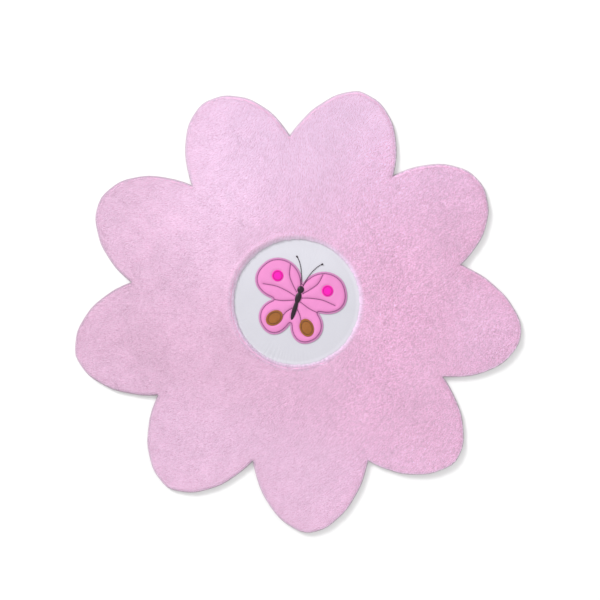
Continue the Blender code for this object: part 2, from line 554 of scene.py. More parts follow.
PILE_MATERIAL = plush_pile()
GROUND_MATERIAL = napped(
    "plush_ground", PINK_ROOT, 0.95, (7.0, 0.03), (700.0, 0.1), (1400.0, 0.0008)
)
BACKING_MATERIAL = backing_cloth()
FELT_NAP = (1600.0, 0.0004)
BINDING_MATERIAL = napped("mauve_binding", MAUVE_BINDING, 0.9, (20.0, 0.03), (900.0, 0.1), FELT_NAP)
VELOUR_MATERIAL = white_velour()
WING_MATERIAL = wing_fleece()
MAGENTA_MATERIAL = napped("magenta_felt", MAGENTA, 0.9, (60.0, 0.03), (900.0, 0.08), FELT_NAP)
BROWN_MATERIAL = napped("brown_felt", BROWN, 0.9, (60.0, 0.08), (900.0, 0.1), FELT_NAP)
SATIN_MATERIAL = new_material("dark_satin", NEAR_BLACK, 0.30, specular=0.35)[0]
PLUM_THREAD = thread("plum_thread", PLUM)
DARK_THREAD = thread("dark_thread", NEAR_BLACK)
MAGENTA_THREAD_MATERIAL = thread("magenta_thread", MAGENTA_THREAD)
BROWN_THREAD_MATERIAL = thread("brown_thread", BROWN_THREAD)

# ---- The flower in plan

ROUND_GAP = 0.3 * MM  # between the round's solid and the recess's wall
round_low, round_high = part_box("round_centre")
CENTRE = np.array(round_low + round_high)[:2] / 2
RECESS_RADIUS = (round_high.x - round_low.x) / 2 + ROUND_GAP
RUG_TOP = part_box("flower_plush")[1].z

EDGE_COLUMNS = 1080
EDGE_SPACING = 1.0 * MM
WIDEST_HEIGHT = 6.0 * MM
edge_angles = bearings(EDGE_COLUMNS)
edge_reach = side_reach("flower_plush", CENTRE, WIDEST_HEIGHT, edge_angles)
edge_line = CENTRE + edge_reach[:, None] * directions(edge_angles)
edge_tree = point_tree(spaced(edge_line, EDGE_SPACING))

# The pile stands on a ground cloth, whose rim and lip are rounded shoulders. A shoulder's
# distances are from the flower's edge, or from the recess's wall, and its foot is a height. Its
# section is an ellipse at a squareness of 2. Its softness turns the tufts' normals up. Its tufts
# take painted
# shade: deeper in tone than the top, and deeper again on the side that faces its bearing, close to
# the lamp's.
Shoulder = namedtuple("Shoulder", "plateau wall foot squareness softness deeper facing bearing")
LAMP_BEARING_DEG = 135.0
EDGE = Shoulder(10.5 * MM, 3.2 * MM, 3.6 * MM, 2.8, 12.0, 4.1, 3.0, 126.0)
LIP = Shoulder(14.0 * MM, 2.4 * MM, 8.6 * MM, 2.1, 3.2, 2.6, 3.9, 118.0)
SOLE_INSET = 1.6 * MM
# The binding's section in millimetres: how far inside the flower's edge, and how high
BINDING = [(0.0, 0.3), (-1.3, 0.9), (-1.5, 1.5), (-1.3, 2.1), (0.2, 2.7)]
RECESS_FLOOR = 5.0 * MM
PILE_RISE = 4.6 * MM
TOP_DIP = 1.2 * MM
TOP_WAVELENGTH = (0.310, 0.265)
TOP_PHASE = (0.8, -0.5)


def ground_top(points):
    """Height of the ground cloth away from its edges, a little uneven by long waves."""
    from_centre = points - CENTRE
    turns = [
        np.sin(FULL_TURN * from_centre[..., axis] / TOP_WAVELENGTH[axis] + TOP_PHASE[axis])
        for axis in (0, 1)
    ]
    return RUG_TOP - PILE_RISE - TOP_DIP * (1 - turns[0] * turns[1]) / 2


def over_shoulder(shoulder, turn, top):
    """Distance from the edge and height, at 0 to 90 degrees round a shoulder."""
    width = shoulder.plateau - shoulder.wall
    power = 2 / shoulder.squareness
    distance = shoulder.plateau - width * np.sin(turn) ** power
    height = shoulder.foot + (top - shoulder.foot) * np.cos(turn) ** power
    return distance, height


def shoulder_normal(shoulder, turn, top, outwards):
    """Unit normals round a shoulder."""
    power = 2 - 2 / shoulder.squareness
    flat_part = np.cos(turn) ** power / (top - shoulder.foot)
    steep_part = np.sin(turn) ** power / (shoulder.plateau - shoulder.wall)
    return unit(with_height(outwards * steep_part[:, None], flat_part))


# ---- The ground cloth under the pile

SHOULDER_ROWS = 7
TOP_ROWS = 14
UNDERSIDE_ROWS = 5
UNDERSIDE_FROM = 0.08  # share of the way to the edge
FLOOR_SHARES = (1.0, 0.66, 0.33)  # of the recess's radius


def ground_rings():
    """Rings from the middle of the underside, round the edge, over the top, into the recess."""
    rings = []
    sole = inset(edge_line, SOLE_INSET)
    for share in np.linspace(UNDERSIDE_FROM, 1.0, UNDERSIDE_ROWS):
        rings.append(with_height(CENTRE + share * (sole - CENTRE), 0.0))
    for distance, height in BINDING:
        rings.append(with_height(inset(edge_line, distance * MM), height * MM))
    plateau = inset(edge_line, EDGE.plateau)
    ways = directions(edge_angles)
    lip = CENTRE + (RECESS_RADIUS + LIP.plateau) * ways
    turns = np.radians(np.linspace(0, 90, SHOULDER_ROWS))
    for turn in turns[::-1]:
        distance, height = over_shoulder(EDGE, turn, ground_top(plateau))
        rings.append(with_height(inset(edge_line, distance), height))
    for share in np.linspace(0, 1, TOP_ROWS + 2)[1:-1]:
        place = plateau + share * (lip - plateau)
        rings.append(with_height(place, ground_top(place)))
    for turn in turns:
        distance, height = over_shoulder(LIP, turn, ground_top(lip))
        rings.append(with_height(CENTRE + (RECESS_RADIUS + distance) * ways, height))
    for share in FLOOR_SHARES:
        floor = CENTRE + share * (RECESS_RADIUS + LIP.wall) * ways
        rings.append(with_height(floor, RECESS_FLOOR))
    return rings


ground = rings_piece(
    "plush_ground",
    ground_rings(),
    [GROUND_MATERIAL, BACKING_MATERIAL, BINDING_MATERIAL],
    [1] * (UNDERSIDE_ROWS - 1) + [2] * (len(BINDING) + 1),
)
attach(ground, "root")
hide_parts("flower_plush")

# ---- The pile

PILE_SPACING = 2.16 * MM
PILE_JITTER = 0.42  # share of the spacing
PILE_LENGTH = 8.4 * MM
PILE_LENGTHS = (0.86, 1.12)  # the shortest and the longest, as shares of it
PILE_RADIUS = 1.05 * MM
PILE_PIECES = 4
PILE_ROOT_DEPTH = 0.6 * MM
PILE_OVER_SOLID = 0.3 * MM
SOFTNESS = 0.70  # share of the cloth's own normal in a tuft's
SMOOTHER = 0.5  # how much more that normal counts where the pile lies smooth
GRID_SHARE = 0.92  # of a shoulder's width, past which the tufts stand in rows
EDGE_ROWS_DEG = (66, 72, 78, 84, 90)
LIP_ROWS_DEG = (70, 76, 82, 88)
LIP_COLUMNS = 720
ROW_SPACING = 1.3 * MM
ROW_JITTER_DEG = 3.0
ROW_JITTER_MM = 0.3
TUFT_FACES = ((0, 1, 3), (1, 2, 3), (2, 0, 3))
TUFT_SIDES = 3
TUFT_POINTS = 4

PILE_LEAN_DEG = 58.0
CURLS_STEEPER_DEG = 20.0
STREAK_LEAN_DEG = 6.0
LEAN_SPREAD_DEG = 5.0
UNEVENNESS = (0.35, 0.9)  # where the pile lies smooth, and what curls add
WANDER = 0.30  # how far tufts stray from the brushed way
BEND_FROM, BEND_OVER = 0.25, 0.5  # where tufts turn down, in shares of a shoulder
BRUSHING_LOST = 0.9  # share of the brushed way that they lose there
FALL = 0.9  # how steeply they turn down at its foot
SHORTEN_PACE = 1.4  # how much sooner than a shoulder's foot they are at their shortest
# Tufts over a shoulder: their lean, the share of their length lost at its foot, the share that
# clumps add, and how low their tips may be
Fringe = namedtuple("Fringe", "lean_deg shortening clumping lowest")
EDGE_FRINGE = Fringe(50.0, 0.42, 0.05, 2.3 * MM)
LIP_FRINGE = Fringe(22.0, 0.16, 0.09, LIP.foot)

STREAKS = Grain(1.4 * MM, 3.6 * MM, 5, 9)
SPECKLES = Grain(1.9 * MM, 0.0, 7, 1)
CLUMPS = Grain(5.0 * MM, 2.0 * MM, 6, 3)

# Steps of tone: random grain, and painted light and shade. The pairs are what smooth pile has, and
# what curls add.
STREAK_TONE = 0.25
SPECKLE_TONE = (0.15, 1.3)
OWN_TONE = (0.25, 1.6)
# Painted light on the curls, which stand up and look darker
CURLY_PAINTED_LIGHT = 1.2
SMOOTH_TONE = 0.1
LIP_SPECKLE_TONE = 0.4
# Painted light where the pile is brushed over the lip
LIP_BRUSHED_OVER_PAINTED_LIGHT = 1.1
LIT_INNERMOST_TONE = 1.4
LIT_PARTED_TONE = (-3.0, 6.0)  # where brushed back from the lip, and what the innermost add
# Painted shade on the lamp's side, at the left, against the brighter pile brushed towards the lamp
LAMP_TONE_REACH = 0.3  # metres from the middle to where brushing to the lamp counts in full
PALE_AGAINST_LAMP = 0.7  # share of that tone which the palest pile loses
# Shares of painted paleness, of painted grey shade and of the tip's colour at the foot
SMOOTH_PALE_LOSS = 0.24
EDGE_PAINTED_LIGHT = 0.4
LIP_PAINTED_LIGHT = 1.05
SHADED_LIP_GREY = 0.45
SMOOTH_FOOT = 0.4

EDGE_BAND = 12 * MM  # where the edge's shade begins
EDGE_BAND_BLEND = 8 * MM
# Where the rim's foot takes painted grey shade
EDGE_SHADE_FROM, EDGE_SHADE_OVER = 0.80, 0.20  # shares of a shoulder, as the three below
LIP_BLEND = 0.5
INNERMOST_FROM, INNERMOST_OVER = 0.6, 0.3
LIP_CURLS_LOST = 0.75
# Painted light: a lighter ridge on the lip's top, on the lamp's side
RIDGE_FROM_WALL = 16 * MM
RIDGE_WIDTH = 5 * MM

rng = np.random.default_rng(20)

# The places and widths in the four maps below are in metres of the rug's plan.


def brushed_way(points):
    """The way that the pile is brushed, as unit vectors in plan."""
    x, y = points[..., 0], points[..., 1]
    upright = spot(points, (0.03, 0.42), (0.20, 0.22))
    left = ramp(-x, 0.04, 0.22) * ramp(-y, -0.62, 0.35)
    low = ramp(-y, 0.34, 0.20)
    degrees = 40 + 44 * upright - 24 * left - 20 * low
    degrees += 7 * soft_noise(points, 0.16, 4) + 8 * soft_noise(points, 0.06, 14)
    return -directions(np.radians(degrees))


def jittered_grid():
    """Points all over the rug's box, in staggered rows, each moved a little."""
    columns = np.arange(cad_low.x, cad_high.x, PILE_SPACING)
    rows = np.arange(cad_low.y, cad_high.y, PILE_SPACING * math.sqrt(0.75))
    x, y = np.meshgrid(columns, rows)
    x = x + PILE_SPACING / 2 * (np.arange(len(rows)) % 2)[:, None]
    points = np.stack((x.ravel(), y.ravel()), axis=-1)
    return points + rng.uniform(-PILE_JITTER, PILE_JITTER, points.shape) * PILE_SPACING


# Where tufts stand: their roots, the cloth's normals there, the ways down over the edge, and how
# far over the shoulder they are, from 0 to 1
Seats = namedtuple("Seats", "roots normals downhill over")


def join(seats):
    return Seats(*(np.concatenate(parts) for parts in zip(*seats)))


def top_seats():
    """Seats on the top and the upper part of both shoulders."""
    points = jittered_grid()
    from_centre = points - CENTRE
    radius = np.linalg.norm(from_centre, axis=-1)
    angle = np.arctan2(from_centre[:, 1], from_centre[:, 0]) % FULL_TURN
    reach = np.interp(angle, edge_angles, edge_reach, period=FULL_TURN)
    points = points[(radius < reach - EDGE.wall) & (radius > RECESS_RADIUS + LIP.wall)]

    near, distance = nearest(edge_tree, points)
    outwards = unit(near - points)
    radial = points - CENTRE
    from_wall = np.linalg.norm(radial, axis=-1) - RECESS_RADIUS
    over_lip = from_wall < LIP.plateau
    seats = []
    for shoulder, chosen, ways, gap in (
        (EDGE, ~over_lip, outwards, distance),
        (LIP, over_lip, -unit(radial), from_wall),
    ):
        width = shoulder.plateau - shoulder.wall
        across = np.clip((shoulder.plateau - gap) / width, 0.0, 1.0)
        chosen = chosen & (across < GRID_SHARE)
        turn = np.arcsin(across[chosen] ** (shoulder.squareness / 2))
        place = points[chosen]
        top = ground_top(place)
        height = over_shoulder(shoulder, turn, top)[1]
        normal = shoulder_normal(shoulder, turn, top, ways[chosen])
        seats.append((with_height(place, height), normal, ways[chosen], turn / np.radians(90)))
    return join(seats)


def shoulder_seats(line, outwards, shoulder, turns_deg, spacing):
    """Seats in rows along a shoulder's steep part."""
    seats = []
    both = np.concatenate((line, outwards), axis=-1)
    for turn_deg in turns_deg:
        row = spaced(np.roll(both, rng.integers(len(both)), axis=0), spacing)
        place = row[:, :2]
        way = unit(row[:, 2:])
        jitter_deg = rng.uniform(-ROW_JITTER_DEG, ROW_JITTER_DEG, len(row))
        turn = np.radians(np.minimum(turn_deg + jitter_deg, 90))
        top = ground_top(place)
        distance, height = over_shoulder(shoulder, turn, top)
        distance += rng.uniform(-ROW_JITTER_MM, ROW_JITTER_MM, len(row)) * MM
        normal = shoulder_normal(shoulder, turn, top, way)
        root = with_height(place - distance[:, None] * way, height)
        seats.append((root, normal, way, turn / np.radians(90)))
    return join(seats)


def painted_light_share(points, edge_distance):
    """How much painted light pales the pile, from 0 to 1: palest towards the top, with painted
    shade near the edge.
    """
    x, y = points[..., 0], points[..., 1]
    at_left = ramp(-x, 0.15, 0.30)
    by_place = ramp(0.9 * y - 0.3 * x, -0.05, 0.5) * (1 - 0.6 * at_left)
    at_bottom = ramp(-y - 0.3 * x, 0.2, 0.22)
    at_tip = ramp(x, 0.38, 0.1) * ramp(-y, -0.12, 0.15)
    near_edge = smooth_step(1 - edge_distance / 0.035)
    return 0.2 + 0.8 * by_place + 0.28 * at_bottom + 0.2 * at_tip - 0.10 * near_edge


def broad_painted_light(points):
    """Painted light and shade in broad patches, and a painted lighter ridge on the lip's top on the
    lamp's side.
    """
    x, y = points[..., 0], points[..., 1]
    above_round = spot(points, (0.0, 0.28), (0.2, 0.2))
    below_round = spot(points, (0.0, -0.26), (0.2, 0.15))
    far_left = ramp(-x, 0.28, 0.15)
    far_right = ramp(x, 0.3, 0.1) * ramp(y, 0.1, 0.1)
    from_centre = points - CENTRE
    from_wall = np.linalg.norm(from_centre, axis=-1) - RECESS_RADIUS
    to_lamp = unit(from_centre) @ directions(math.radians(LAMP_BEARING_DEG))
    ridge = np.exp(-(((from_wall - RIDGE_FROM_WALL) / RIDGE_WIDTH) ** 2)) * np.maximum(to_lamp, 0.0)
    return above_round + 0.5 * below_round - 0.8 * far_left - 0.7 * far_right + 1.5 * ridge


def curly_share(points):
    """Where the pile stands up in short curls, from 0 to 1: at the right, and near the round."""
    x, y = points[..., 0], points[..., 1]
    at_right = ramp(x, 0.02, 0.25) * ramp(-y, -0.6, 0.25)
    near_round = ramp(-np.hypot(x, y), -0.42, 0.16) * ramp(x, -0.22, 0.2)
    return 0.8 * at_right + 0.45 * near_round


# How the pile lies at each seat: its place, the way it is brushed, whether it is at the lip, how
# far it counts as the lip's, how curly and how smooth it is, and its grain
Lay = namedtuple("Lay", "plan ways at_lip lip_share curly smooth streak speckle clump")


def lay_at(seats):
    plan = seats.roots[:, :2]
    ways = brushed_way(plan)
    at_lip = np.linalg.norm(plan - CENTRE, axis=-1) < RECESS_RADIUS + LIP.plateau
    lip_share = np.where(at_lip, smooth_step(seats.over / LIP_BLEND), 0.0)
    curly = curly_share(plan) * (1 - LIP_CURLS_LOST * lip_share)
    smooth = 1 - np.minimum(curly, 1.0)
    grains = [drawn_noise(plan, ways, grain) for grain in (STREAKS, SPECKLES, CLUMPS)]
    return Lay(plan, ways, at_lip, lip_share, curly, smooth, *grains)


def tips_of(seats, lay):
    """Where the tufts end: over in the brushed way on the top, and down over the shoulders."""
    roots, normals, downhill, over = seats
    count = len(roots)
    lean_deg, shortening, clumping, lowest = [
        np.where(lay.at_lip, lip, edge) for lip, edge in zip(LIP_FRINGE, EDGE_FRINGE)
    ]
    uneven = raised(UNEVENNESS, lay.curly)
    bent = ramp(over, BEND_FROM, BEND_OVER)
    wander = WANDER * uneven[:, None] * rng.normal(size=(count, 2))
    way = unit(lay.ways + wander + bent[:, None] * (downhill - BRUSHING_LOST * lay.ways))
    falling = with_height(way, -FALL * over)
    tangent = unit(falling - normals * np.sum(falling * normals, axis=-1, keepdims=True))
    top_lean = PILE_LEAN_DEG - CURLS_STEEPER_DEG * lay.curly
    lean = top_lean + bent * (lean_deg - top_lean)
    spread = STREAK_LEAN_DEG * lay.streak + rng.normal(scale=LEAN_SPREAD_DEG, size=count)
    lean = np.radians(lean + uneven * spread)
    shortened = shortening * smooth_step(over * SHORTEN_PACE)
    length = PILE_LENGTH * rng.uniform(*PILE_LENGTHS, count) * (1 - shortened)
    length *= 1 + clumping * bent * lay.clump
    axis = np.cos(lean)[:, None] * normals + np.sin(lean)[:, None] * tangent
    tips = roots + length[:, None] * axis
    tips[:, 2] = np.clip(tips[:, 2], lowest, RUG_TOP + PILE_OVER_SOLID)
    return tips


def top_grain_and_painted_light(lay, painted_light):
    """Tone from the random grain, and painted light and shade from the curls, the broad patches and
    the way to the lamp.
    """
    # Painted shade on the lamp's side at the left, less where the pile is painted palest
    to_lamp = np.clip(-lay.plan[:, 0] / LAMP_TONE_REACH, -1, 1) * (1 - PALE_AGAINST_LAMP * painted_light)
    tones = STREAK_TONE * lay.streak + raised(SPECKLE_TONE, lay.curly) * lay.speckle
    tones += broad_painted_light(lay.plan) - to_lamp + CURLY_PAINTED_LIGHT * lay.curly + SMOOTH_TONE * lay.smooth
    return tones + raised(OWN_TONE, lay.curly) * rng.normal(size=len(lay.plan))


def lip_speckle_and_painted_light(seats, lay, lit):
    """Painted light and shade that the lip adds: deeper, and lighter where brushed over it or
    innermost and lit.
    """
    brushed_over = np.sum(lay.ways * seats.downhill, axis=-1)
    innermost = ramp(seats.over, INNERMOST_FROM, INNERMOST_OVER)
    parted_tone = np.maximum(-brushed_over, 0.0) * raised(LIT_PARTED_TONE, innermost)
    tones = LIP_BRUSHED_OVER_PAINTED_LIGHT * lay.lip_share * np.maximum(brushed_over, 0.0)
    tones -= lay.lip_share * (LIP.deeper - LIP_SPECKLE_TONE * lay.speckle) + LIP.facing * lit
    return tones + lit * (LIT_INNERMOST_TONE * innermost + parted_tone)


def numbers_of(seats, lay):
    """The tufts' numbers for the material, for each tuft or for each of its points."""
    edge_distance = nearest(edge_tree, lay.plan)[1]
    edge_share = np.where(lay.at_lip, 0.0, ramp(-edge_distance, -EDGE_BAND, EDGE_BAND_BLEND))
    facing_edge, facing_lip = [
        seats.downhill @ directions(math.radians(part.bearing)) for part in (EDGE, LIP)
    ]
    painted_light = painted_light_share(lay.plan, edge_distance) - SMOOTH_PALE_LOSS * lay.smooth
    tones = top_grain_and_painted_light(lay, painted_light)
    # Painted shade on the rim, deeper on the side that faces the lamp
    tones -= edge_share * (EDGE.deeper + EDGE.facing * facing_edge)
    tones += lip_speckle_and_painted_light(seats, lay, lay.lip_share * np.maximum(facing_lip, 0.0))
    shaded_lip = lay.lip_share * np.maximum(-facing_lip, 0.0)
    edge_painted_shade = ramp(seats.over, EDGE_SHADE_FROM, EDGE_SHADE_OVER)
    foot = SMOOTH_FOOT * lay.smooth
    return {
        "along": np.stack((foot, foot, foot, np.ones(len(foot))), axis=1),
        "grain_and_painted_light": tones,
        "painted_light": np.maximum(painted_light + EDGE_PAINTED_LIGHT * edge_share, LIP_PAINTED_LIGHT * lay.lip_share),
        # Painted grey shade at the rim's foot and on the lip's side away from the lamp
        "edge": np.where(lay.at_lip, SHADED_LIP_GREY * shaded_lip, edge_painted_shade),
    }


def grow(seats):
    """Tufts on the seats: their roots, tips, normals and numbers for the material."""
    lay = lay_at(seats)
    tips = tips_of(seats, lay)
    values = numbers_of(seats, lay)
    softness = np.where(lay.at_lip, LIP.softness, EDGE.softness) * seats.over
    shading = unit(seats.normals + softness[:, None] * np.array((0.0, 0.0, 1.0)))
    shading *= 1 + SMOOTHER * lay.smooth[:, None]
    return seats.roots - PILE_ROOT_DEPTH * seats.normals, tips, shading, values


def tuft_piece(name, roots, tips, normals, values):
    """Three-sided spikes with their feet hidden in the cloth, as one piece."""
    axis = unit(tips - roots)
    across = unit(np.cross(axis, rng.normal(size=roots.shape)))
    beside = np.cross(axis, across)
    points = []
    shading = []
    for angle in bearings(TUFT_SIDES):
        side = math.cos(angle) * across + math.sin(angle) * beside
        points.append(roots + PILE_RADIUS * side)
        shading.append(unit(SOFTNESS * normals + (1 - SOFTNESS) * side))
    points.append(tips)
    shading.append(unit(SOFTNESS * normals + (1 - SOFTNESS) * axis))
    first = TUFT_POINTS * np.arange(len(roots))[:, None]
    faces = np.concatenate([first + np.array(side) for side in TUFT_FACES])
    piece = mesh_piece(name, np.stack(points, axis=1), faces.tolist(), [PILE_MATERIAL])
    for value_name, numbers in values.items():
        each = numbers.reshape(len(roots), -1)
        add_value(piece, value_name, np.broadcast_to(each, (len(roots), TUFT_POINTS)))
    shading = np.stack(shading, axis=1).reshape(-1, 3)
    piece.data.normals_split_custom_set_from_vertices(shading.tolist())
    return piece


def make_pile():
    """The pile in pieces, each a sector of the flower."""
    lip_ways = directions(bearings(LIP_COLUMNS))
    lip_line = CENTRE + RECESS_RADIUS * lip_ways
    seats = join(
        [
            top_seats(),
            shoulder_seats(edge_line, -left_of(edge_line), EDGE, EDGE_ROWS_DEG, ROW_SPACING),
            shoulder_seats(lip_line, -lip_ways, LIP, LIP_ROWS_DEG, ROW_SPACING),
        ]
    )
    roots, tips, shading, values = grow(seats)
    from_centre = roots[:, :2] - CENTRE
    order = np.argsort(np.arctan2(from_centre[:, 1], from_centre[:, 0]))
    pieces = []
    for number, members in enumerate(np.array_split(order, PILE_PIECES), start=1):
        own_values = {name: numbers[members] for name, numbers in values.items()}
        own = (roots[members], tips[members], shading[members], own_values)
        piece = tuft_piece(f"plush_pile_{number}", *own)
        bake_map_from_above(piece)
        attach(piece, "root")
        pieces.append(piece)
    return pieces


make_pile()

# ---- The white round

ROUND_COLUMNS = 900
ROUND_UNDER_LIP = 3.0 * MM
ROUND_RADIUS = RECESS_RADIUS + ROUND_UNDER_LIP
ROUND_TOP_SHARES = np.linspace(0.998, 0.02, 30)
ROUND_SOLE_INSET = 0.6 * MM
ROUND_SOLE_SHARES = np.linspace(0.1, 1.0, 6)
ROUND_EDGE_DROP = 1.3 * MM
ROUND_UNDER_SOLID = 0.25 * MM
ROUND_UNEVENNESS = 0.12 * MM
EDGE_DROP_FROM, EDGE_DROP_OVER = 0.955, 0.045  # shares of the radius, as the two below
GATHERS_FROM, GATHERS_OVER = 0.62, 0.30
GATHER_DEPTH = 0.13 * MM
GATHER_WAVES = 7
GATHER_COUNTS = (60, 130)  # the fewest and the most folds round the edge in one wave
DEEPEST_GATHERS_DEG = 265  # where the folds are deepest, and over how wide an angle
GATHERS_SPREAD_DEG = 50
# Metres from the centre to where painted light turns the white whiter: on the side away from the
# lamp, and under the lip all round, over the lip's shade
AWAY_WHITE_FROM, AWAY_WHITE_OVER = 0.157, 0.012
LIP_WHITE_FROM, LIP_WHITE_OVER = 0.162, 0.006


def gathers(angles):
    """Uneven small folds that run to the round's edge, at these bearings."""
    own = np.random.default_rng(8)
    total = np.zeros(len(angles))
    for count in own.integers(*GATHER_COUNTS, GATHER_WAVES):
        total += np.sin(count * angles + own.uniform(0, FULL_TURN))
    from_deepest = (np.degrees(angles) - DEEPEST_GATHERS_DEG) / GATHERS_SPREAD_DEG
    return total / math.sqrt(GATHER_WAVES) * (0.35 + 0.65 * np.exp(-(from_deepest**2)))


def painted_light_on_cloth(points):
    """Painted light on the cloth: whiter towards the top, and whitest next to the lip, over its
    shade.
    """
    from_centre = points - CENTRE
    upwards = ramp(from_centre[..., 1], -0.02, 0.18)
    radius = np.linalg.norm(from_centre, axis=-1)
    away = -unit(from_centre) @ directions(math.radians(LAMP_BEARING_DEG))
    far_side = np.clip(1.3 * away + 0.3, 0.0, 1.0)
    near_lip = far_side * ramp(radius, AWAY_WHITE_FROM, AWAY_WHITE_OVER)
    under_lip = ramp(radius, LIP_WHITE_FROM, LIP_WHITE_OVER)
    return 0.35 * upwards + 0.9 * np.maximum(near_lip, under_lip)


def make_round():
    angles = bearings(ROUND_COLUMNS)
    ways = directions(angles)
    low, high = round_low.z, round_high.z
    rings = []
    for share in ROUND_SOLE_SHARES:
        rings.append(with_height(CENTRE + share * (ROUND_RADIUS - ROUND_SOLE_INSET) * ways, low))
    edge_height = high - ROUND_EDGE_DROP
    rings.append(with_height(CENTRE + ROUND_RADIUS * ways, (low + edge_height) / 2))
    folds = gathers(angles)
    for share in ROUND_TOP_SHARES:
        place = CENTRE + share * ROUND_RADIUS * ways
        drop = ROUND_EDGE_DROP * ramp(share, EDGE_DROP_FROM, EDGE_DROP_OVER)
        folded = GATHER_DEPTH * folds * ramp(share, GATHERS_FROM, GATHERS_OVER)
        uneven = ROUND_UNEVENNESS * soft_noise(place, 0.07, 12)
        top = high - ROUND_UNDER_SOLID - drop + folded + uneven
        rings.append(with_height(place, np.minimum(top, high)))
    piece = rings_piece("white_round", rings, [VELOUR_MATERIAL])
    add_value(piece, "painted_light", painted_light_on_cloth(np.array(rings)[..., :2]))
    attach(piece, "root")
    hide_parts("round_centre")
    return piece


white_round = make_round()

# ---- The butterfly, in its own plan of millimetres: +X to the right fore wing, +Y to the head


def middle_of(node):
    low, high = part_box(node)
    return np.array(low + high)[:2] / 2


butterfly_x = unit(middle_of("fore_spot_right") - middle_of("fore_spot_left"))
butterfly_y = np.array((-butterfly_x[1], butterfly_x[0]))


def placed(points):
    """Points of the butterfly's plan, in the rug's frame."""
    points = np.asarray(points) * MM
    return CENTRE + points[..., :1] * butterfly_x + points[..., 1:] * butterfly_y


CURVE_STEPS = 24  # for each point that a line is drawn through
CURVE_SPACING = 1.0


def curved(points):
    """A smooth line through the points of the butterfly's plan, in the rug's frame."""
    points = np.asarray(points, float)
    at = np.arange(len(points))
    fine = np.linspace(0, len(points) - 1, CURVE_STEPS * len(points))
    before = 2 * points[:1] - points[1:2]
    after = 2 * points[-1:] - points[-2:-1]
    longer = np.concatenate((before, points, after))
    slopes = (longer[2:] - longer[:-2]) / 2
    index = np.minimum(fine.astype(int), len(points) - 2)
    part = (fine - at[index])[:, None]
    start, end = points[index], points[index + 1]
    line = (
        (2 * part**3 - 3 * part**2 + 1) * start
        + (part**3 - 2 * part**2 + part) * slopes[index]
        + (3 * part**2 - 2 * part**3) * end
        + (part**3 - part**2) * slopes[index + 1]
    )
    return placed(spaced(line, CURVE_SPACING, closed=False))


def mirrored(lines):
    """The lines, and the same lines on the butterfly's other side."""
    return lines + [[(-x, y) for x, y in line] for line in lines]


Patch = namedtuple("Patch", "node name material slot thread")
PATCHES = [
    Patch(f"{node}_{side}", f"{name}_{side}", *look)
    for node, name, *look in (
        ("fore_spot", "spot", MAGENTA_MATERIAL, "magenta_felt", MAGENTA_THREAD_MATERIAL),
        ("hind_oval", "oval", BROWN_MATERIAL, "brown_felt", BROWN_THREAD_MATERIAL),
    )
    for side in ("left", "right")
]
PATCH_COLUMNS = 72


def node_line(node, centre, columns):
    """The node's outline, counter-clockwise."""
    low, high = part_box(node)
    angles = bearings(columns)
    reach = side_reach(node, centre, (low.z + high.z) / 2, angles)
    return centre + reach[:, None] * directions(angles)


patch_lines = [node_line(patch.node, middle_of(patch.node), PATCH_COLUMNS) for patch in PATCHES]

WING_COLUMNS = 540
WING_ROWS = 48
WING_MARGIN_WIDTH = 5.2 * MM
FINE_SPACING = 0.5 * MM
wing_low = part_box("butterfly_wings")[0]
wing_line = node_line("butterfly_wings", CENTRE, WING_COLUMNS)
wing_edge_tree = point_tree(spaced(wing_line, FINE_SPACING))

SEAMS = mirrored(
    [
        [(60, -11), (40, -8), (22, -2), (9, 3)],
        [(9, 14), (34, 21), (66, 25), (102, 21)],
        [(8, 26), (24, 42), (40, 64), (46, 92)],
        [(7, -18), (20, -34), (27, -50)],
    ]
)
# The body's swellings in millimetres: their middles along it, half lengths and half widths
BODY_SWELLINGS = ((-21.0, 29.0, 6.2), (12.0, 16.0, 8.2), (35.0, 10.0, 9.0))
BODY_OUTLINE = np.linspace(-50, 45, 60)
MARGIN_SEARCH = (1.0, 0.5, 140)  # shares of the way from the centre to the wings' edge


def stitched_outline():
    """The line at the margin's inner side, found along each bearing."""
    shares = np.linspace(*MARGIN_SEARCH)
    grid = CENTRE + shares[:, None, None] * (wing_line - CENTRE)
    distance = nearest(wing_edge_tree, grid)[1]
    first = np.argmax(distance >= WING_MARGIN_WIDTH, axis=0)
    return grid[first, np.arange(len(wing_line))]


outline_seam = stitched_outline()
inner_seams = [curved(seam) for seam in SEAMS]


def body_half_width(along):
    """Half the body's width in millimetres, at places along its length."""
    widths = [
        half_width * np.sqrt(np.clip(1 - ((along - middle) / half_length) ** 2, 0, 1))
        for middle, half_length, half_width in BODY_SWELLINGS
    ]
    return np.max(widths, axis=0)


def body_line():
    width = body_half_width(BODY_OUTLINE)
    right = np.stack((width, BODY_OUTLINE), axis=-1)
    left = np.stack((-width, BODY_OUTLINE), axis=-1)[::-1]
    return placed(np.concatenate((right, left)))


SEAM_HEIGHT = 1.8 * MM  # above the wings' underside
PUFF_HEIGHT = 2.3 * MM  # above the seams
PUFF_REACH = 5.0 * MM
PUFF_UNEVENNESS = 0.12 * MM
CREASE_SHADE_REACH = 2.6 * MM
MARGIN_HEIGHT = 1.7 * MM
MARGIN_BLEND = 0.8 * MM
RIM_HEIGHT = (0.35, 0.65)  # shares of the margin's height: at the edge, and what its rounding adds
RIM_WIDTH = 1.2 * MM
SEAT_HEIGHT = 2.6 * MM  # where a patch or the body is sewn on
SEAT_SLOPE = 5.0 * MM
WING_SOLE_INSET = 0.5 * MM
WING_SOLE_SHARES = np.linspace(0.1, 1.0, 7)
# Shares of the way from the centre to the edge, closer together at the edge
WING_TOP_SHARES = 1 - np.linspace(0, 1, WING_ROWS) ** 1.25 * 0.97


